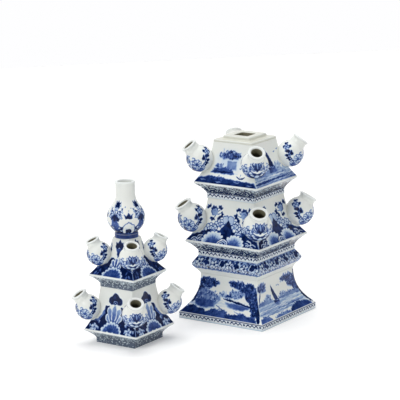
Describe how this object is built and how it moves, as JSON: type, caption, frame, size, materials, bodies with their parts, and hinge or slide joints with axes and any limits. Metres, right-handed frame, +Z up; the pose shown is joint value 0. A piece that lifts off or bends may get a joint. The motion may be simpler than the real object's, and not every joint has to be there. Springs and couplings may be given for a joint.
{
  "type": "tulip vase",
  "caption": "Square tiered flower pyramid in tin-glazed earthenware with a spout at each corner of every tier, standing as its two stacking sections side by side.",
  "frame": {"origin": "on the standing plane, under the middle of the bounding box of both sections", "axes": "+Z up, +X along the pair from the upper section towards the lower section, +Y towards the back; every square piece has its corners towards X and Y"},
  "size_m": [0.3032, 0.224, 0.2175],
  "materials": {
    "painted_glaze": "gloss tin glaze painted in cobalt blue",
    "spout_glaze": "gloss tin glaze with small cobalt sprigs",
    "white_glaze": "plain gloss tin glaze, off-white"
  },
  "bodies": {
    "lower_section": {"pedestal": "painted_glaze", "stacking_collar": "white_glaze", "tier_1_spout_back": "spout_glaze", "tier_1_spout_front": "spout_glaze", "tier_1_spout_left": "spout_glaze", "tier_1_spout_right": "spout_glaze", "tier_1_vessel": "painted_glaze", "tier_2_spout_back": "spout_glaze", "tier_2_spout_front": "spout_glaze", "tier_2_spout_left": "spout_glaze", "tier_2_spout_right": "spout_glaze", "tier_2_vessel": "painted_glaze", "waist_moulding": "painted_glaze"},
    "upper_section": {"gourd_neck": "painted_glaze", "tier_3_spout_back": "spout_glaze", "tier_3_spout_front": "spout_glaze", "tier_3_spout_left": "spout_glaze", "tier_3_spout_right": "spout_glaze", "tier_3_vessel": "painted_glaze", "tier_4_spout_back": "spout_glaze", "tier_4_spout_front": "spout_glaze", "tier_4_spout_left": "spout_glaze", "tier_4_spout_right": "spout_glaze", "tier_4_vessel": "painted_glaze"}
  },
  "joints": [
    {"name": "upper_section_lift", "type": "slide", "parent": "lower_section", "child": "upper_section", "axis": [0, 0, 1], "range_m": [0, 0.225]}
  ]
}
